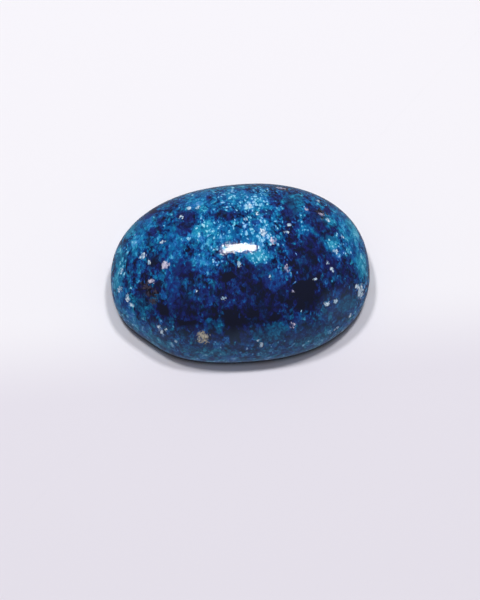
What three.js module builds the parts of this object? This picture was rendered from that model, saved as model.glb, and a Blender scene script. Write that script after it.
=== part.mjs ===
// A polished oval cabochon of lapis lazuli: one solid stone with a high dome, a steep wall below
// the girdle (its widest outline), a narrow ground bevel and a flat base.
// Millimetres, +Z up, origin in the middle of the base, long axis of the oval along X.
import * as THREE from "three";

const { degToRad, euclideanModulo, lerp, smoothstep } = THREE.MathUtils;

// Driving dimensions of the stone
const LENGTH = 18;
const WIDTH = 13;
const HEIGHT = 7;
const GIRDLE_HEIGHT = 1.4; // the widest outline, measured up from the base
const BEVEL_HEIGHT = 0.35; // the edge ground off between the wall and the base
const HALF_LENGTH = LENGTH / 2;
const HALF_WIDTH = WIDTH / 2;

// How far the girdle overhangs what is below it, all round
const BEVEL_INSET = 0.2; // where the wall meets the bevel
const BASE_INSET = 0.45; // the rim of the flat base

// Roundness of the oval seen from above: 2 is an ellipse, and more is fuller at the shoulders
const OVAL_FULLNESS = 2.25;

// Marks of cutting by hand: a lobed wobble of the outline and one flattened stretch of it
const WOBBLE_LOBES = 3;
const WOBBLE_SHARE = 0.006; // of the distance from the middle
const WOBBLE_TURN = degToRad(66);
const FLAT_DIRECTION = degToRad(210);
const FLAT_HALF_SPREAD = degToRad(12.4);
const FLAT_SHARE = 0.037; // of the distance from the middle

// The gentle swell that polishing by hand leaves on the dome
const SWELL_HEIGHT = 0.06;
const SWELL_LENGTH = 12.5; // from one crest to the next
const SWELL_START_X = 0.7; // radians of the wave at the middle of the stone
const SWELL_START_Y = -0.5;

// How finely the stone is faceted
const SEGMENTS_ROUND = 96;
const STEPS_WALL = 6;
const STEPS_DOME = 26;

// The section of a round stone as wide as this oval one, from the middle of the base, out round
// the edge and up to the top of the dome, which is a quarter of an ellipse.
function sectionPoints() {
  const points = [
    new THREE.Vector2(0, 0),
    new THREE.Vector2(HALF_WIDTH - BASE_INSET, 0),
  ];
  for (let i = 0; i < STEPS_WALL; i++) {
    const up = i / STEPS_WALL;
    const inset = BEVEL_INSET * (1 - up) ** 2;
    points.push(new THREE.Vector2(HALF_WIDTH - inset, lerp(BEVEL_HEIGHT, GIRDLE_HEIGHT, up)));
  }
  for (let i = 0; i < STEPS_DOME; i++) {
    const turn = (i / STEPS_DOME) * (Math.PI / 2);
    const height = lerp(GIRDLE_HEIGHT, HEIGHT, Math.sin(turn));
    points.push(new THREE.Vector2(HALF_WIDTH * Math.cos(turn), height));
  }
  points.push(new THREE.Vector2(0, HEIGHT));
  return points;
}

// Distance from the middle to the girdle in a direction seen from above.
function girdleRadius(direction) {
  const alongLength = Math.abs(Math.cos(direction)) / HALF_LENGTH;
  const alongWidth = Math.abs(Math.sin(direction)) / HALF_WIDTH;
  const oval = (alongLength ** OVAL_FULLNESS + alongWidth ** OVAL_FULLNESS) ** (-1 / OVAL_FULLNESS);
  const wobble = WOBBLE_SHARE * Math.cos(WOBBLE_LOBES * (direction - WOBBLE_TURN));
  const offFlat = euclideanModulo(direction - FLAT_DIRECTION + Math.PI, 2 * Math.PI) - Math.PI;
  const flat = FLAT_SHARE * Math.exp(-((offFlat / FLAT_HALF_SPREAD) ** 2));
  return oval * (1 + wobble - flat);
}

// How far the swell lifts a point of the dome. It fades out at the girdle.
function swell(x, y, height) {
  const onDome = smoothstep(height, GIRDLE_HEIGHT, HEIGHT);
  const wave = (2 * Math.PI) / SWELL_LENGTH;
  return SWELL_HEIGHT * onDome * Math.sin(wave * x + SWELL_START_X) * Math.cos(wave * y + SWELL_START_Y);
}

// Draws a radius of the round stone out to the oval one. The dome is stretched from the middle,
// and the wall below the girdle is moved out, so that the overhang is the same all round.
function ovalRadius(radius, height, direction) {
  const girdle = girdleRadius(direction);
  const onWall = height < GIRDLE_HEIGHT && radius > 0;
  return onWall ? radius + girdle - HALF_WIDTH : (radius * girdle) / HALF_WIDTH;
}

// Brings the uneven stone back to its measured size, centred over the middle of its base.
function fitToSize(geometry) {
  geometry.computeBoundingBox();
  const size = geometry.boundingBox.getSize(new THREE.Vector3());
  const middle = geometry.boundingBox.getCenter(new THREE.Vector3());
  geometry.translate(-middle.x, -middle.y, 0);
  geometry.scale(LENGTH / size.x, WIDTH / size.y, HEIGHT / size.z);
  geometry.computeVertexNormals();
  return geometry;
}

// Turns the section about the Z axis, and draws the round stone that this gives out to the oval.
function stoneGeometry() {
  const geometry = new THREE.LatheGeometry(sectionPoints(), SEGMENTS_ROUND);
  geometry.rotateX(Math.PI / 2);
  const position = geometry.getAttribute("position");
  for (let i = 0; i < position.count; i++) {
    const height = position.getZ(i);
    const direction = Math.atan2(position.getY(i), position.getX(i));
    const radius = ovalRadius(Math.hypot(position.getX(i), position.getY(i)), height, direction);
    const x = radius * Math.cos(direction);
    const y = radius * Math.sin(direction);
    position.setXYZ(i, x, y, height + swell(x, y, height));
  }
  return fitToSize(geometry);
}

const lapisLazuli = new THREE.MeshStandardMaterial({
  color: 0x164a82,
  roughness: 0.14,
  metalness: 0,
});

const stone = new THREE.Mesh(stoneGeometry(), lapisLazuli);
stone.name = "stone";

const cabochon = new THREE.Group();
cabochon.add(stone);

export default cabochon;
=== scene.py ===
import math
import random

import bpy
import numpy as np
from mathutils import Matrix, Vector, noise
from mathutils.bvhtree import BVHTree


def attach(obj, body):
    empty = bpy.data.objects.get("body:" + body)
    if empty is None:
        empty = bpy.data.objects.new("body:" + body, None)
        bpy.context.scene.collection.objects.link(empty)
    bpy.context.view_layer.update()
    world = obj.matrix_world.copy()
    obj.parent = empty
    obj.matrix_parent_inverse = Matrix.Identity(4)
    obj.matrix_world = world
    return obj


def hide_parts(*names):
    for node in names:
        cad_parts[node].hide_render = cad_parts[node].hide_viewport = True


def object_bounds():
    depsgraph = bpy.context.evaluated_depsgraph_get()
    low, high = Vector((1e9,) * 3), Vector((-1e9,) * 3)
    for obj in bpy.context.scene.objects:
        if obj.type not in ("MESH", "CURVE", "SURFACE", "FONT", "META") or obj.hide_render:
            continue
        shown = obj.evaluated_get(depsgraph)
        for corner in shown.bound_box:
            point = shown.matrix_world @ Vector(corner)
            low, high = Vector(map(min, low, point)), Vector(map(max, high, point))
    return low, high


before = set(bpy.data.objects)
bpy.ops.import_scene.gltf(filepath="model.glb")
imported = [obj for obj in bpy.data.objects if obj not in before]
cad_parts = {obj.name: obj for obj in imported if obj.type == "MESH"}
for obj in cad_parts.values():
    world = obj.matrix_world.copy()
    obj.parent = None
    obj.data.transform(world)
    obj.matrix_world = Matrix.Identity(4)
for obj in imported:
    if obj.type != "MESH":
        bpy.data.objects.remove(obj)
cad_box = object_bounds()

MM = 0.001
SEED = 7

# The photograph's frame in pixels, and how the stone stands in it
PHOTO_WIDTH = 480
PHOTO_HEIGHT = 600
PIXELS_PER_MM = 14.5
CAMERA_AZIMUTH = math.radians(-5.55)
CAMERA_ELEVATION = math.radians(60.9)
CAMERA_DISTANCE = 200 * MM
CAMERA_NEAR = 10 * MM
CAMERA_FAR = 10
TARGET = Vector((0, 0, 3.0 * MM))
TARGET_PIXEL = Vector((240.15, 263.4))
SENSOR_MM = 36

# Two lamps overhead for the light and the short shadow, one for the glint where the photograph shows it,
# and a pale room
KEY_PLACES = (Vector((-75, 60, 320)) * MM, Vector((75, 60, 320)) * MM)
KEY_SIZE = 38 * MM
KEY_WATTS = 0.455
GLINT_PIXEL = (239, 246)
LAMP_DISTANCE = 350 * MM
LAMP_LENGTH = 114 * MM
LAMP_WIDTH = 46 * MM
LAMP_WATTS = 1.05
LAMP_ROLL = math.radians(-20)
ROOM_COLOUR = 0xf4f3f6
ROOM_LIGHT = 0.31
ROOM_GLOSS = 0.22
FLOOR_SIZE = 4.0
FLOOR_DROP = 0.01 * MM

# Refining the copy of the solid
MERGE_DISTANCE = 0.001 * MM
CAP_SHARE = 0.12
CAP_INNER = 0.97
CAP_SPAN = 24
CAP_SURROUND = 0.4
OFF_DOME = 2
BOWL_DEGREE = 4
WORKED_ANGLE = math.radians(20)
DOWNWARD = -0.99
EDGE_ROUNDING = 0.05 * MM
EDGE_STEPS = 2
BASE_MARGIN = 0.15 * MM
BASE_RINGS = (0.84, 0.8, 0.75, 0.66, 0.5)
SMOOTHING_LEVELS = 2

# What the photograph shows on the stone: pixel, half width and half height in pixels. Ultramarine, indigo
# and ink are patches of darker blue, and azure, cyan and teal of paler blue. The broadest dark patches, over
# the lower front and right, are partly darker stone and partly painted shade where those sides face away from
# the light. The greyer marks along the lower front are a painted reflection of the pale floor, and the thin
# pale marks along the outline are painted light on the rim. Lace is a crowd of pale specks, and umber,
# calcite, rose and pyrite are single flecks
MARKS = {
    # Partly darker stone and partly painted shade over the lower front and right, which face away from the
    # light
    "dusk_and_front_shade": [
        (240, 318, 122, 50), (330, 290, 40, 44), (300, 262, 20, 26),
    ],
    "ultramarine": [
        (255, 282, 26, 20), (240, 300, 60, 26), (185, 300, 40, 24), (168, 235, 10, 10), (272, 222, 5, 5),
        (345, 285, 18, 18), (310, 235, 18, 24), (248, 328, 9, 8), (270, 325, 34, 12), (160, 312, 20, 14),
        (336, 270, 14, 10), (150, 262, 14, 12), (190, 216, 9, 16), (290, 216, 9, 24), (224, 214, 14, 5),
        (305, 330, 26, 12), (200, 330, 26, 10), (355, 253, 5, 6), (183, 272, 12, 10), (240, 275, 20, 8),
    ],
    # The thin marks along the outline, at the top rim and the two ends, make the rim paler: painted light on
    # the rim
    "azure": [
        (195, 199, 14, 9), (350, 230, 10, 24), (340, 212, 10, 9), (360, 262, 8, 18), (138, 238, 9, 14),
        (306, 227, 8, 7), (173, 250, 9, 26), (121, 300, 7, 15), (130, 316, 8, 11), (140, 328, 8, 7),
        (173, 290, 6, 16), (274, 280, 12, 9), (240, 236, 24, 10), (262, 258, 12, 7), (118, 275, 5, 18),
        (330, 196, 14, 5), (180, 192, 18, 6), (150, 206, 12, 8), (128, 230, 8, 12), (230, 196, 20, 8),
        (204, 262, 14, 8), (146, 222, 8, 8), (207, 231, 13, 15), (336, 247, 10, 11), (256, 230, 18, 16),
        (248, 200, 22, 10), (200, 190, 18, 4), (168, 200, 14, 5), (348, 216, 9, 9), (364, 246, 6, 14),
        (302, 190, 16, 4), (258, 256, 14, 8),
    ],
    "cyan": [
        (207, 231, 11, 13), (200, 203, 10, 5), (336, 247, 9, 10), (135, 240, 5, 7), (132, 320, 4, 8),
        (220, 260, 8, 6), (256, 230, 18, 18), (153, 242, 6, 4), (262, 257, 9, 5), (248, 200, 20, 10),
        (357, 240, 4, 10), (212, 300, 3, 4), (173, 346, 3, 2), (258, 256, 12, 6), (300, 225, 6, 5),
    ],
    # The thin marks along the outline, at the top rim and the two ends, make the rim paler: painted light on
    # the rim
    "teal": [
        (295, 201, 8, 9), (318, 195, 14, 5), (220, 326, 5, 6), (158, 341, 12, 4), (153, 299, 5, 5),
        (348, 303, 9, 8), (330, 222, 6, 5), (277, 330, 12, 8), (268, 336, 16, 6), (144, 306, 8, 7),
        (310, 340, 20, 4), (210, 352, 26, 4), (120, 258, 5, 14), (332, 243, 7, 8), (362, 266, 6, 13),
        (258, 256, 10, 6), (205, 228, 8, 8), (345, 205, 12, 6), (116, 284, 4, 14), (130, 230, 6, 8),
        (150, 210, 8, 5), (353, 226, 6, 11), (236, 187, 34, 3),
    ],
    "indigo": [
        (311, 247, 16, 13), (290, 226, 6, 20), (225, 214, 12, 5), (184, 271, 12, 9), (309, 274, 12, 14),
        (256, 288, 12, 16), (186, 309, 13, 11), (189, 323, 14, 6), (188, 224, 6, 12), (154, 230, 5, 6),
        (156, 262, 9, 9), (236, 330, 12, 12), (270, 305, 14, 10), (285, 300, 10, 10), (342, 268, 7, 6),
        (344, 291, 6, 6), (240, 272, 16, 8), (316, 216, 9, 9), (164, 310, 9, 7), (222, 296, 8, 8),
        (247, 312, 18, 8), (150, 214, 6, 4), (260, 318, 16, 7), (208, 312, 10, 6), (310, 206, 4, 4),
        (267, 213, 5, 4), (257, 223, 4, 3), (335, 230, 5, 4), (152, 271, 5, 4), (208, 197, 4, 3),
        (140, 290, 5, 6), (329, 210, 4, 4), (290, 212, 8, 18), (318, 222, 9, 11), (312, 250, 13, 15),
        (184, 222, 8, 14), (330, 236, 6, 8), (330, 262, 9, 9), (278, 200, 6, 8), (160, 222, 5, 5),
        (300, 262, 12, 22), (304, 286, 14, 18),
    ],
    "ink": [
        (306, 297, 15, 15), (322, 296, 10, 6), (231, 319, 9, 9), (234, 336, 5, 9), (227, 275, 8, 5),
        (158, 286, 4, 8), (164, 310, 5, 5), (189, 322, 10, 3), (252, 313, 6, 4), (276, 317, 6, 4),
    ],
    # Greyer blue along the lower front: a painted reflection of the pale floor
    "floor_sheen": [
        (240, 352, 100, 14), (342, 314, 20, 20), (305, 343, 44, 14), (168, 344, 32, 12),
    ],
    "umber": [
        (147, 288, 8, 7), (323, 214, 6, 6), (281, 188, 10, 4), (154, 292, 6, 6), (153, 300, 5, 4),
    ],
    "lace": [
        (252, 228, 18, 14), (250, 204, 22, 14), (262, 192, 14, 6), (225, 196, 12, 8), (336, 248, 8, 9),
        (220, 260, 9, 5), (280, 228, 9, 8), (262, 257, 12, 6), (238, 264, 5, 5), (222, 236, 7, 9),
        (144, 257, 6, 5), (288, 276, 8, 8), (122, 268, 4, 10), (205, 226, 9, 9), (232, 244, 16, 6),
        (268, 238, 10, 8), (334, 240, 9, 8), (300, 226, 7, 6),
    ],
    "calcite": [
        (189, 208, 2, 2), (182, 217, 2, 2), (198, 207, 2, 2), (163, 242, 3, 1.5), (143, 256, 3, 3),
        (149, 262, 2, 3), (122, 271, 2, 3), (120, 290, 3, 3), (127, 298, 2, 4), (131, 304, 2.5, 2),
        (196, 291, 2, 1.5), (159, 327, 2.5, 2), (162, 333, 3, 2.5), (166, 330, 1.5, 1.5),
        (176, 341, 1.5, 1.5), (315, 279, 2, 1.5), (327, 304, 3, 2.5), (335, 301, 2.5, 2.5),
        (361, 292, 4, 7), (357, 288, 2, 3), (258, 341, 2, 1.5), (261, 345, 2, 3), (318, 201, 3, 1.5),
        (289, 225, 2, 1.5), (287, 232, 2.5, 2), (336, 252, 3, 2.5), (343, 237, 2, 1.5),
        (328, 262, 1.5, 3), (332, 270, 1.5, 3), (270, 278, 1.5, 2.5), (250, 206, 3, 2.5),
        (258, 214, 2, 2), (246, 219, 2, 2), (264, 232, 4, 4), (239, 264, 2, 3), (350, 316, 1.5, 2),
        (336, 329, 3, 1), (223, 298, 2.5, 2), (328, 220, 2, 2),
    ],
    "rose": [
        (165, 265, 4, 4), (273, 241, 3, 4), (286, 268, 3, 4), (293, 325, 2.5, 3.5), (152, 281, 3, 2),
        (322, 215, 3, 2), (307, 209, 2, 1.5), (280, 188, 5, 1.5), (293, 291, 1.5, 2),
    ],
    "pyrite": [
        (203, 338, 6.5, 6),
    ],
}

# A tone runs from 0 for the darkest stone to 1 for the palest. Each kind of patch adds a shift to it, and
# calms the grain by a share
PATCHES = [
    # Darkens the lower front: partly darker stone, partly painted shade
    ("dusk_and_front_shade", -0.1, 0.08),
    ("ultramarine", -0.06, 0.15),
    ("azure", 0.17, 0.3),
    ("cyan", 0.14, 0.1),
    ("teal", 0.1, 0.2),
    ("indigo", -0.15, 0.28),
    ("ink", -0.26, 0.6),
]

# The outline of a mark wavers by these reaches over these distances, in millimetres, and less on crisp
# flecks. It fades out between a half and one and a half times its own size
WAVERS = ((0.25, 0.9), (0.12, 0.4))
CRISP_KINDS = ("calcite", "rose", "pyrite")
CRISP_WAVER = 0.3
MARK_REACH = 1.5
LEAST_SHORTENING = 0.5

# A mark on the sides that the photograph doesn't show is at most this large, in pixels, before its stretch
TWIN_LIMIT = 36
TWIN_STRETCH = (0.8, 1.25)


def linear(hex_colour):
    """An sRGB colour such as 0x1f4e9c as linear red, green, blue and alpha."""
    channels = [(hex_colour >> shift & 255) / 255 for shift in (16, 8, 0)]
    return [c / 12.92 if c <= 0.04045 else ((c + 0.055) / 1.055) ** 2.4 for c in channels] + [1.0]


# Camera

back = Vector((
    math.sin(CAMERA_AZIMUTH) * math.cos(CAMERA_ELEVATION),
    -math.cos(CAMERA_AZIMUTH) * math.cos(CAMERA_ELEVATION),
    math.sin(CAMERA_ELEVATION),
))
level = Vector((math.cos(CAMERA_AZIMUTH), math.sin(CAMERA_AZIMUTH), 0))
eye = TARGET + back * CAMERA_DISTANCE
off_centre = TARGET_PIXEL - Vector((PHOTO_WIDTH, PHOTO_HEIGHT)) / 2
aim = TARGET + (off_centre.y * back.cross(level) - off_centre.x * level) * MM / PIXELS_PER_MM
camera = bpy.data.objects.new("camera", bpy.data.cameras.new("camera"))
bpy.context.scene.collection.objects.link(camera)
camera.location = eye
camera.rotation_euler = (aim - eye).to_track_quat("-Z", "Y").to_euler()
camera.data.sensor_width = SENSOR_MM
camera.data.lens = SENSOR_MM * PIXELS_PER_MM * CAMERA_DISTANCE / MM / PHOTO_HEIGHT
camera.data.clip_start = CAMERA_NEAR
camera.data.clip_end = CAMERA_FAR
bpy.context.scene.camera = camera
bpy.context.view_layer.update()


def sight_line(x, y):
    """The direction from the camera through a pixel of the photograph."""
    reach = PIXELS_PER_MM * CAMERA_DISTANCE / MM
    turn = camera.matrix_world.to_3x3()
    return (turn @ Vector((x - PHOTO_WIDTH / 2, PHOTO_HEIGHT / 2 - y, -reach))).normalized()


# Stone

def select_only(piece):
    bpy.ops.object.select_all(action="DESELECT")
    piece.select_set(True)
    bpy.context.view_layer.objects.active = piece


def pick(piece, kind, chosen):
    """Selects, in edit mode, the faces or edges of a piece that a test chooses."""
    bpy.ops.object.mode_set(mode="EDIT")
    bpy.ops.mesh.select_mode(type=kind)
    bpy.ops.mesh.select_all(action="DESELECT")
    bpy.ops.object.mode_set(mode="OBJECT")
    elements = piece.data.polygons if kind == "FACE" else piece.data.edges
    for element in elements:
        element.select = chosen(element)
    bpy.ops.object.mode_set(mode="EDIT")


def worked_edges(stone):
    """The edges of the ground bevel: between two faces that meet at a clear angle."""
    normals = {}
    for face in stone.data.polygons:
        for key in face.edge_keys:
            normals.setdefault(key, []).append(face.normal)
    limit = math.cos(WORKED_ANGLE)
    return {e.index for e in stone.data.edges if normals[e.key][0].dot(normals[e.key][-1]) < limit}


def dome_share(place):
    """How far out a place in the upper half of the stone lies, as a share of the oval."""
    if place.z < cad_box[1].z / 2:
        return OFF_DOME
    return math.hypot(place.x / cad_box[1].x, place.y / cad_box[1].y)


def bowl_terms(x, y):
    """The terms of a smooth bowl, for places in millimetres."""
    powers = [(i, j) for i in range(BOWL_DEGREE + 1) for j in range(BOWL_DEGREE + 1 - i)]
    return np.stack([x ** i * y ** j for i, j in powers], axis=-1)


def round_cap(stone):
    """Lifts the flat grid at the top of the dome to the bowl that fits the dome round it."""
    places = np.array([v.co for v in stone.data.vertices]) / MM
    shares = np.array([dome_share(v.co) for v in stone.data.vertices])
    round_it = (shares > CAP_SHARE) & (shares < CAP_SURROUND)
    bowl = np.linalg.lstsq(bowl_terms(*places[round_it, :2].T), places[round_it, 2], rcond=None)[0]
    for i in np.flatnonzero(shares < CAP_SHARE * CAP_INNER):
        stone.data.vertices[i].co.z = float(bowl_terms(*places[i, :2]) @ bowl) * MM


def smooth_stone():
    """A smooth copy of the solid, with its worked edges slightly rounded."""
    stone = bpy.data.objects.new("lapis_cabochon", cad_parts["stone"].data.copy())
    bpy.context.scene.collection.objects.link(stone)
    select_only(stone)
    bpy.ops.object.mode_set(mode="EDIT")
    bpy.ops.mesh.select_all(action="SELECT")
    bpy.ops.mesh.remove_doubles(threshold=MERGE_DISTANCE)
    bpy.ops.mesh.tris_convert_to_quads(face_threshold=math.pi, shape_threshold=math.pi, topology_influence=1)

    # The top of the dome, where all the faces meet in a point, becomes an even grid that continues the dome
    pick(stone, "FACE", lambda f: dome_share(f.center) < CAP_SHARE)
    bpy.ops.mesh.delete(type="FACE")
    bpy.ops.mesh.select_mode(type="EDGE")
    bpy.ops.mesh.select_non_manifold()
    bpy.ops.mesh.fill_grid(span=CAP_SPAN, use_interp_simple=True)
    bpy.ops.object.mode_set(mode="OBJECT")
    round_cap(stone)

    # The base becomes one flat face in rings, and its rim and the upper edge of the bevel are rounded
    pick(stone, "FACE", lambda f: f.normal.z < DOWNWARD and f.center.z < MERGE_DISTANCE)
    bpy.ops.mesh.dissolve_faces()
    bpy.ops.mesh.inset(thickness=BASE_MARGIN)
    for share in BASE_RINGS:
        bpy.ops.mesh.inset(thickness=0)
        bpy.ops.transform.resize(value=(share, share, 1), center_override=(0, 0, 0))
    bpy.ops.object.mode_set(mode="OBJECT")
    worked = worked_edges(stone)
    pick(stone, "EDGE", lambda e: e.index in worked)
    bpy.ops.mesh.bevel(offset=EDGE_ROUNDING, segments=EDGE_STEPS, affect="EDGES")
    bpy.ops.object.mode_set(mode="OBJECT")

    smoothing = stone.modifiers.new("smoothing", "SUBSURF")
    smoothing.levels = SMOOTHING_LEVELS
    smoothing.render_levels = SMOOTHING_LEVELS
    bpy.ops.object.modifier_apply(modifier=smoothing.name)
    bpy.ops.object.shade_smooth()
    return stone


stone = smooth_stone()


# Where the marks lie

def surface_frame(place, normal):
    """Directions across and along the surface at a place, as the camera sees them, and how much of their
    length it sees."""
    side = camera.matrix_world.col[0].xyz
    upward = camera.matrix_world.col[1].xyz
    across = (side - side.dot(normal) * normal).normalized()
    along = normal.cross(across)
    seen_across = max(across.dot(side), LEAST_SHORTENING)
    seen_along = max(abs(along.dot(upward)), LEAST_SHORTENING)
    return across, along, seen_across, seen_along


def mark_places(surface, outlook):
    """Each kind's marks as (place, normal, half width, half height): those in the photograph, and their
    like on the sides that it doesn't show, at random."""
    hidden = [f for f in stone.data.polygons if f.normal.dot(outlook) < 0]
    chance = random.Random(SEED)
    weights = [f.area for f in hidden]
    placed = {}
    for kind, marks in MARKS.items():
        placed[kind] = []
        for x, y, half_width, half_height in marks:
            place, normal = surface.ray_cast(eye, sight_line(x, y))[:2]
            if place:
                placed[kind].append((place, normal, half_width, half_height))
            twin = chance.choices(hidden, weights)[0]
            stretch = chance.uniform(*TWIN_STRETCH)
            twin_width = min(half_width, TWIN_LIMIT) * stretch
            twin_height = min(half_height, TWIN_LIMIT) / stretch
            placed[kind].append((twin.center.copy(), twin.normal.copy(), twin_width, twin_height))
    return placed


def mark_fields(placed):
    """For each kind of mark, a value at each vertex: 1 well inside a mark, a half at its edge and 0
    outside."""
    count = len(stone.data.vertices)
    points = np.empty(count * 3)
    stone.data.vertices.foreach_get("co", points)
    points = points.reshape(-1, 3) / MM
    noise.seed_set(SEED)
    waver = np.array([
        sum((reach * noise.noise_vector(Vector(p) / distance) for reach, distance in WAVERS), Vector())
        for p in points
    ])
    fields = {}
    for kind, marks in placed.items():
        fields[kind] = np.zeros(count)
        wavering = points + waver * (CRISP_WAVER if kind in CRISP_KINDS else 1.0)
        for place, normal, half_width, half_height in marks:
            across, along, seen_across, seen_along = surface_frame(place, normal)
            offset = wavering - np.array(place) / MM
            u = offset @ np.array(across) * PIXELS_PER_MM * seen_across / half_width
            v = offset @ np.array(along) * PIXELS_PER_MM * seen_along / half_height
            w = offset @ np.array(normal) * PIXELS_PER_MM / max(half_width, half_height)
            inside = np.clip(MARK_REACH - np.sqrt(u * u + v * v + w * w), 0, 1)
            fields[kind] = np.maximum(fields[kind], inside)
    return fields


def store(name, values):
    """Keeps a value for each vertex on the mesh, for the material to read."""
    stored = stone.data.attributes.new(name, "FLOAT", "POINT")
    stored.data.foreach_set("value", values.astype(np.float32))


surface = BVHTree.FromObject(stone, bpy.context.evaluated_depsgraph_get())
fields = mark_fields(mark_places(surface, back))
for kind, values in fields.items():
    store(kind, values)


# Materials

# Sockets of a Mix node when it mixes colours
COLOUR_A = 6
COLOUR_B = 7
COLOUR_RESULT = 2

# Lapis lazuli: sizes of its patterns, and how far each of them moves the tone
GRAIN_STRETCH = (1.2, 0.85, 0.85)
RAGGED_SIZE = 0.3 * MM
RAGGED_REACH = 0.25 * MM
CLOUD_SIZE = 0.9 * MM
CLOUD_CONTRAST = 0.9
BORDER_SIZE = 0.35 * MM
BORDER_CONTRAST = 1.2
PIECE_SIZE = 0.3 * MM
PIECE_CONTRAST = 0.5
PATCH_EDGE = (0.25, 0.75)
BASE_TONE = 0.4
# Painted light low on the sides: the height where it starts, the height below which it is full, and how far
# it lifts the tone
LOW_SIDE_TOP = 3.2 * MM
LOW_SIDE_FULL = 1.2 * MM
PAINTED_SIDE_LIGHT = 0.17

# Size and contrast of each grade of grain, the coarsest first, and the pale dots of the finer ones
GRAINS = ((0.5 * MM, 0.28), (0.26 * MM, 0.42), (0.15 * MM, 0.42))
DOT_CORE = 0.2
DOT_RIM = 0.7
DOT_LIFT = 0.22
DOT_LIFT_SPREAD = 0.38
DOT_SHARE = -0.1
BUSY_DOT_SHARE = 0.16
LACE_DOT_SHARE = 0.36
LACE_GAP = -0.14

# Where single pieces of the stone turn violet or teal, and by how much
VIOLET_RANGE = (0.6, 0.9)
VIOLET_SHARE = 0.7
TEAL_RANGE = (1.0, 1.6)
TEAL_SHARE = 0.85
TEAL_PATCH_SHARE = 0.75
# The colour of the painted floor reflection, and how much of it shows
FLOOR_SHEEN_COLOUR = 0x56708a
FLOOR_SHEEN_SHARE = 0.3

# Flecks made of crumbs, each between a dark and a light colour
CRUMB_SIZE = 0.14 * MM
CRUMB_CONTRAST = 0.8
FLECK_EDGE = (0.5, 0.9)
FLECKS = {
    "umber": (0x10111c, 0x403a4a),
    "calcite": (0x7ca6c8, 0xdcebf6),
    "rose": (0x8886a8, 0xd8d2e6),
    "pyrite": (0x8e8a7c, 0xcfc9b8),
}

# Polish
DOME_ROUGHNESS = 0.06
WALL_ROUGHNESS = 0.3
RELIEF_SIZE = 0.18 * MM
RELIEF_DEPTH = 0.006 * MM
LAPIS_IOR = 1.5
LAPIS_GLOSS = 0.22

# Colours from the darkest tone to the palest: blue lapis lazuli, its violet patches and its teal ones
BLUES = [
    (0.0, 0x080f30), (0.12, 0x081c4e), (0.25, 0x082f6a), (0.38, 0x0a437e), (0.5, 0x0b5690), (0.6, 0x0c67a0),
    (0.7, 0x127ab0), (0.8, 0x268cc0), (0.9, 0x50a4d2), (1.0, 0x8cc4e8),
]
VIOLETS = [
    (0.0, 0x14182c), (0.15, 0x171b50), (0.3, 0x1a2a6a), (0.45, 0x173f82), (0.6, 0x1a5aa4), (0.8, 0x3c7ec4),
    (1.0, 0x9cc4f0),
]
TEALS = [
    (0.0, 0x0a1a34), (0.2, 0x0b3458), (0.4, 0x10587e), (0.55, 0x12769c), (0.7, 0x2494b6), (0.85, 0x50b4d2),
    (1.0, 0xa4dcea),
]

# Pale paper, darker towards the front with a painted soft shadow, and a painted contact shadow in the narrow
# gap under the stone
PAPER_FRONT = 0xe1dde6
PAPER_BACK = 0xefedf2
FRONT_SHADOW_FADE = (-8.5 * MM, -1 * MM)
PAPER_ROUGHNESS = 0.85
PAPER_GLOSS = 0.1
GAP_SHADOW = 0x1c1e2a
GAP_REACH = 0.6 * MM
GAP_RANGE = (0.25, 0.65)
GAP_SAMPLES = 8


def add_node(material, kind, inputs=None, **settings):
    """Adds a node with its settings. An input is a value, a node whose first output it takes, or a socket."""
    graph = material.node_tree
    node = graph.nodes.new(kind)
    for name, value in settings.items():
        setattr(node, name, value)
    for name, value in (inputs or {}).items():
        if isinstance(value, bpy.types.Node):
            graph.links.new(value.outputs[0], node.inputs[name])
        elif isinstance(value, bpy.types.NodeSocket):
            graph.links.new(value, node.inputs[name])
        else:
            node.inputs[name].default_value = value
    return node


def new_material(name):
    material = bpy.data.materials.new(name)
    material.use_nodes = True
    material.node_tree.nodes.clear()
    return material


def tone_colours(material, tone, stops):
    """A ramp from tone to colour, whose first and last stops are at 0 and 1."""
    node = add_node(material, "ShaderNodeValToRGB", {"Fac": tone})
    elements = node.color_ramp.elements
    elements[0].color = linear(stops[0][1])
    elements[1].color = linear(stops[-1][1])
    for position, colour in stops[1:-1]:
        elements.new(position).color = linear(colour)
    return node.outputs["Color"]


def random_cells(material, where, size):
    """Cells of one size, and the random red, green and blue that each of them has."""
    cells = add_node(material, "ShaderNodeTexVoronoi", {"Vector": where, "Scale": 1 / size})
    luck = add_node(material, "ShaderNodeSeparateColor", {"Color": cells.outputs["Color"]})
    return cells, luck


def patch_tone(material, border):
    """The tone that the patches give, how busy the grain is in them, and the share of each kind."""
    shares = {}
    tone = BASE_TONE
    calm = 0.0
    for kind, shift, calming in PATCHES:
        field = add_node(material, "ShaderNodeAttribute", attribute_name=kind).outputs["Fac"]
        field = add_node(material, "ShaderNodeMath", {0: field, 1: border}, operation="ADD")
        share = add_node(material, "ShaderNodeMapRange", {
            "Value": field, "From Min": PATCH_EDGE[0], "From Max": PATCH_EDGE[1],
        }, interpolation_type="SMOOTHSTEP")
        shares[kind] = share
        tone = add_node(material, "ShaderNodeMath", {0: share, 1: shift, 2: tone}, operation="MULTIPLY_ADD")
        calm = add_node(material, "ShaderNodeMath", {0: share, 1: calming, 2: calm}, operation="MULTIPLY_ADD")
    busy = add_node(material, "ShaderNodeMath", {0: 1.0, 1: calm}, operation="SUBTRACT", use_clamp=True)
    return tone, busy, shares


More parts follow.
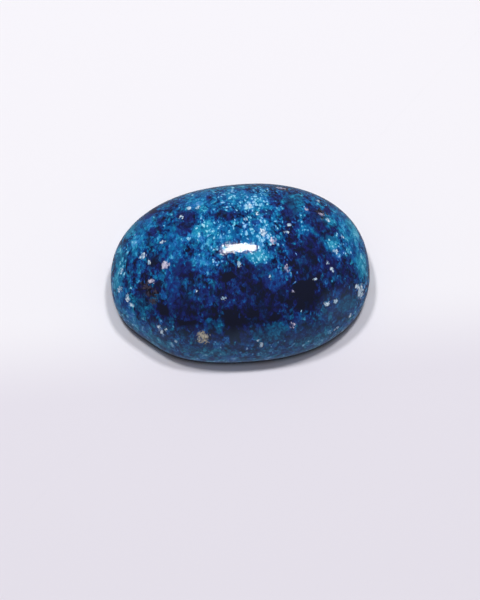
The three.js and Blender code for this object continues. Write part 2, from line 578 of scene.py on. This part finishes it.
def add_flecks(material, colour, where):
    """The colour of the stone with its flecks on it, made of crumbs of many tones."""
    crumbs = random_cells(material, where, CRUMB_SIZE)[1]
    outline = add_node(material, "ShaderNodeMath", {
        0: crumbs, 1: CRUMB_CONTRAST, 2: -CRUMB_CONTRAST / 2,
    }, operation="MULTIPLY_ADD")
    for kind, (dark, light) in FLECKS.items():
        field = add_node(material, "ShaderNodeAttribute", attribute_name=kind).outputs["Fac"]
        field = add_node(material, "ShaderNodeMath", {0: field, 1: outline}, operation="ADD")
        share = add_node(material, "ShaderNodeMapRange", {
            "Value": field, "From Min": FLECK_EDGE[0], "From Max": FLECK_EDGE[1],
        }, interpolation_type="SMOOTHSTEP")
        fleck = add_node(material, "ShaderNodeMix", {
            "Factor": crumbs.outputs["Green"], COLOUR_A: linear(dark), COLOUR_B: linear(light),
        }, data_type="RGBA").outputs[COLOUR_RESULT]
        colour = add_node(material, "ShaderNodeMix", {
            "Factor": share, COLOUR_A: colour, COLOUR_B: fleck,
        }, data_type="RGBA").outputs[COLOUR_RESULT]
    return colour


def lapis_material():
    """Lapis lazuli, ground and polished: grains of lazurite in every blue, darker patches, pale specks and
    flecks of calcite and a brassy grain of pyrite, under a wet-looking polish."""
    material = new_material("polished_lapis_lazuli")
    where = add_node(material, "ShaderNodeTexCoord").outputs["Object"]
    stretched = add_node(material, "ShaderNodeMapping", {"Vector": where, "Scale": GRAIN_STRETCH})
    waver = add_node(material, "ShaderNodeTexNoise", {
        "Vector": stretched, "Scale": 1 / RAGGED_SIZE, "Detail": 2,
    }).outputs["Color"]
    waver = add_node(material, "ShaderNodeVectorMath", {0: waver, 1: (0.5, 0.5, 0.5)}, operation="SUBTRACT")
    ragged = add_node(material, "ShaderNodeVectorMath", {
        0: waver, 1: (RAGGED_REACH, RAGGED_REACH, RAGGED_REACH), 2: stretched,
    }, operation="MULTIPLY_ADD")
    cloud = add_node(material, "ShaderNodeTexNoise", {
        "Vector": stretched, "Scale": 1 / CLOUD_SIZE, "Detail": 4, "Roughness": 0.65,
    })

    # Patches with borders that follow the pieces of the stone
    border = add_node(material, "ShaderNodeTexNoise", {
        "Vector": stretched, "Scale": 1 / BORDER_SIZE, "Detail": 4, "Roughness": 0.65,
    })
    border = add_node(material, "ShaderNodeMath", {
        0: border, 1: BORDER_CONTRAST, 2: -(BORDER_CONTRAST + PIECE_CONTRAST) / 2,
    }, operation="MULTIPLY_ADD")
    pieces = random_cells(material, ragged, PIECE_SIZE)[1]
    border = add_node(material, "ShaderNodeMath", {
        0: pieces, 1: PIECE_CONTRAST, 2: border,
    }, operation="MULTIPLY_ADD")
    tone, busy, shares = patch_tone(material, border)

    # Painted light: the stone is paler low on its sides and round the girdle, standing in for light that
    # reaches them
    height = add_node(material, "ShaderNodeSeparateXYZ", {"Vector": where}).outputs["Z"]
    low_side = add_node(material, "ShaderNodeMapRange", {
        "Value": height, "From Min": LOW_SIDE_TOP, "From Max": LOW_SIDE_FULL,
    }, interpolation_type="SMOOTHSTEP")
    tone = add_node(material, "ShaderNodeMath", {0: low_side, 1: PAINTED_SIDE_LIGHT, 2: tone}, operation="MULTIPLY_ADD")

    # Grains of many tones
    grades = [random_cells(material, ragged, size) for size, contrast in GRAINS]
    grain = add_node(material, "ShaderNodeMath", {
        0: cloud, 1: CLOUD_CONTRAST, 2: -CLOUD_CONTRAST / 2,
    }, operation="MULTIPLY_ADD")
    for (size, contrast), (cells, luck) in zip(GRAINS, grades):
        shift = add_node(material, "ShaderNodeMath", {0: luck.outputs["Red"], 1: -0.5}, operation="ADD")
        grain = add_node(material, "ShaderNodeMath", {
            0: shift, 1: contrast, 2: grain,
        }, operation="MULTIPLY_ADD")
    tone = add_node(material, "ShaderNodeMath", {0: grain, 1: busy, 2: tone}, operation="MULTIPLY_ADD")

    # Pale dots in some of the finer grains, crowded where the lace is, on darker stone
    lace = add_node(material, "ShaderNodeAttribute", attribute_name="lace").outputs["Fac"]
    crowd = add_node(material, "ShaderNodeMath", {
        0: busy, 1: BUSY_DOT_SHARE, 2: DOT_SHARE,
    }, operation="MULTIPLY_ADD")
    crowd = add_node(material, "ShaderNodeMath", {
        0: lace, 1: LACE_DOT_SHARE, 2: crowd,
    }, operation="MULTIPLY_ADD")
    pale = 0.0
    for cells, luck in grades[1:]:
        chosen = add_node(material, "ShaderNodeMath", {
            0: luck.outputs["Green"], 1: crowd,
        }, operation="LESS_THAN")
        dot = add_node(material, "ShaderNodeMapRange", {
            "Value": cells.outputs["Distance"], "From Min": DOT_RIM, "From Max": DOT_CORE, "To Max": chosen,
        })
        lift = add_node(material, "ShaderNodeMath", {
            0: luck.outputs["Blue"], 1: DOT_LIFT_SPREAD, 2: DOT_LIFT,
        }, operation="MULTIPLY_ADD")
        pale = add_node(material, "ShaderNodeMath", {0: dot, 1: lift, 2: pale}, operation="MULTIPLY_ADD")
    tone = add_node(material, "ShaderNodeMath", {0: lace, 1: LACE_GAP, 2: tone}, operation="MULTIPLY_ADD")
    tone = add_node(material, "ShaderNodeMath", {0: tone, 1: pale}, operation="ADD")

    # Violet in the dark patches, the painted shade over the lower front among them, and some single pieces,
    # teal in its own patches and some coarse grains
    violet = add_node(material, "ShaderNodeMapRange", {
        "Value": pieces.outputs["Blue"],
        "From Min": VIOLET_RANGE[0], "From Max": VIOLET_RANGE[1], "To Max": VIOLET_SHARE,
    })
    for kind in ("indigo", "ink", "dusk_and_front_shade"):
        violet = add_node(material, "ShaderNodeMath", {0: violet, 1: shares[kind]}, operation="MAXIMUM")
    hue = add_node(material, "ShaderNodeMath", {
        0: grades[0][1].outputs["Green"], 1: pieces.outputs["Green"],
    }, operation="ADD")
    teal = add_node(material, "ShaderNodeMapRange", {
        "Value": hue, "From Min": TEAL_RANGE[0], "From Max": TEAL_RANGE[1], "To Max": TEAL_SHARE,
    })
    teal = add_node(material, "ShaderNodeMath", {0: teal, 1: busy}, operation="MULTIPLY")
    patch = add_node(material, "ShaderNodeMath", {
        0: shares["teal"], 1: TEAL_PATCH_SHARE,
    }, operation="MULTIPLY")
    teal = add_node(material, "ShaderNodeMath", {0: teal, 1: patch}, operation="MAXIMUM")
    colour = tone_colours(material, tone, BLUES)
    for share, stops in ((violet, VIOLETS), (teal, TEALS)):
        colour = add_node(material, "ShaderNodeMix", {
            "Factor": share, COLOUR_A: colour, COLOUR_B: tone_colours(material, tone, stops),
        }, data_type="RGBA").outputs[COLOUR_RESULT]

    # Painted reflection of the pale floor: the stone is a greyer blue along its lower front
    floor_sheen = add_node(material, "ShaderNodeAttribute", attribute_name="floor_sheen").outputs["Fac"]
    floor_sheen = add_node(material, "ShaderNodeMath", {0: floor_sheen, 1: FLOOR_SHEEN_SHARE}, operation="MULTIPLY")
    colour = add_node(material, "ShaderNodeMix", {
        "Factor": floor_sheen, COLOUR_A: colour, COLOUR_B: linear(FLOOR_SHEEN_COLOUR),
    }, data_type="RGBA").outputs[COLOUR_RESULT]
    colour = add_flecks(material, colour, ragged)

    # The wall below the girdle is less well polished, so it is duller
    dull = add_node(material, "ShaderNodeMapRange", {
        "Value": low_side, "To Min": DOME_ROUGHNESS, "To Max": WALL_ROUGHNESS,
    })
    polish = add_node(material, "ShaderNodeTexNoise", {
        "Vector": where, "Scale": 1 / RELIEF_SIZE, "Detail": 2,
    })
    relief = add_node(material, "ShaderNodeBump", {
        "Height": polish, "Strength": 1.0, "Distance": RELIEF_DEPTH,
    })
    shader = add_node(material, "ShaderNodeBsdfPrincipled", {
        "Base Color": colour, "Roughness": dull, "IOR": LAPIS_IOR, "Specular IOR Level": LAPIS_GLOSS,
        "Normal": relief,
    })
    add_node(material, "ShaderNodeOutputMaterial", {"Surface": shader})
    return material


stone.data.materials.clear()
stone.data.materials.append(lapis_material())

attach(stone, "root")
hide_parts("stone")


# Floor and light

def paper_material():
    """Pale lavender-white paper, a shade deeper towards the front with a painted soft shadow, and dark with a
    painted contact shadow in the narrow gap under the stone."""
    material = new_material("pale_paper")
    where = add_node(material, "ShaderNodeTexCoord").outputs["Object"]
    depth = add_node(material, "ShaderNodeSeparateXYZ", {"Vector": where}).outputs["Y"]
    # Painted soft shadow: the paper darkens towards the front of the stone
    depth = add_node(material, "ShaderNodeMapRange", {
        "Value": depth, "From Min": FRONT_SHADOW_FADE[0], "From Max": FRONT_SHADOW_FADE[1],
    }, interpolation_type="SMOOTHSTEP")
    shade = add_node(material, "ShaderNodeMix", {
        "Factor": depth, COLOUR_A: linear(PAPER_FRONT), COLOUR_B: linear(PAPER_BACK),
    }, data_type="RGBA").outputs[COLOUR_RESULT]
    # Painted contact shadow: the paper turns dark where the stone closes it in
    gap_shadow = add_node(material, "ShaderNodeAmbientOcclusion", {"Distance": GAP_REACH}, samples=GAP_SAMPLES)
    gap_shadow = add_node(material, "ShaderNodeMapRange", {
        "Value": gap_shadow.outputs["AO"], "From Min": GAP_RANGE[0], "From Max": GAP_RANGE[1],
    }, interpolation_type="SMOOTHSTEP")
    shade = add_node(material, "ShaderNodeMix", {
        "Factor": gap_shadow, COLOUR_A: linear(GAP_SHADOW), COLOUR_B: shade,
    }, data_type="RGBA").outputs[COLOUR_RESULT]
    shader = add_node(material, "ShaderNodeBsdfPrincipled", {
        "Base Color": shade, "Roughness": PAPER_ROUGHNESS, "Specular IOR Level": PAPER_GLOSS,
    })
    add_node(material, "ShaderNodeOutputMaterial", {"Surface": shader})
    return material


bpy.ops.object.select_all(action="DESELECT")
bpy.ops.mesh.primitive_plane_add(size=FLOOR_SIZE, location=(0, 0, -FLOOR_DROP))
floor = bpy.context.object
floor.name = "floor"
floor.data.materials.append(paper_material())
floor.visible_glossy = False


def area_light(name, place, towards, length, width, watts):
    light = bpy.data.objects.new(name, bpy.data.lights.new(name, "AREA"))
    bpy.context.scene.collection.objects.link(light)
    light.data.shape = "RECTANGLE"
    light.data.size = length
    light.data.size_y = width
    light.data.energy = watts
    light.location = place
    light.rotation_euler = (towards - place).to_track_quat("-Z", "Y").to_euler()
    return light


for place in KEY_PLACES:
    key = area_light("key", place, TARGET, KEY_SIZE, KEY_SIZE, KEY_WATTS)
    key.visible_glossy = False

ray = sight_line(*GLINT_PIXEL)
glint, normal = surface.ray_cast(eye, ray)[:2]
lamp_place = glint + ray.reflect(normal) * LAMP_DISTANCE
lamp = area_light("lamp", lamp_place, glint, LAMP_LENGTH, LAMP_WIDTH, LAMP_WATTS)
lamp.visible_diffuse = False
lamp.rotation_euler.rotate_axis("Z", LAMP_ROLL)

world = bpy.data.worlds.new("room")
world.use_nodes = True
world.node_tree.nodes.clear()
bpy.context.scene.world = world
rays = add_node(world, "ShaderNodeLightPath")
strength = add_node(world, "ShaderNodeMix", {
    "Factor": rays.outputs["Is Glossy Ray"], "A": ROOM_LIGHT, "B": ROOM_GLOSS,
}).outputs["Result"]
strength = add_node(world, "ShaderNodeMath", {
    0: strength, 1: rays.outputs["Is Camera Ray"],
}, operation="MAXIMUM")
room = add_node(world, "ShaderNodeBackground", {"Color": linear(ROOM_COLOUR), "Strength": strength})
add_node(world, "ShaderNodeOutputWorld", {"Surface": room})

bpy.context.scene.view_settings.view_transform = "Standard"
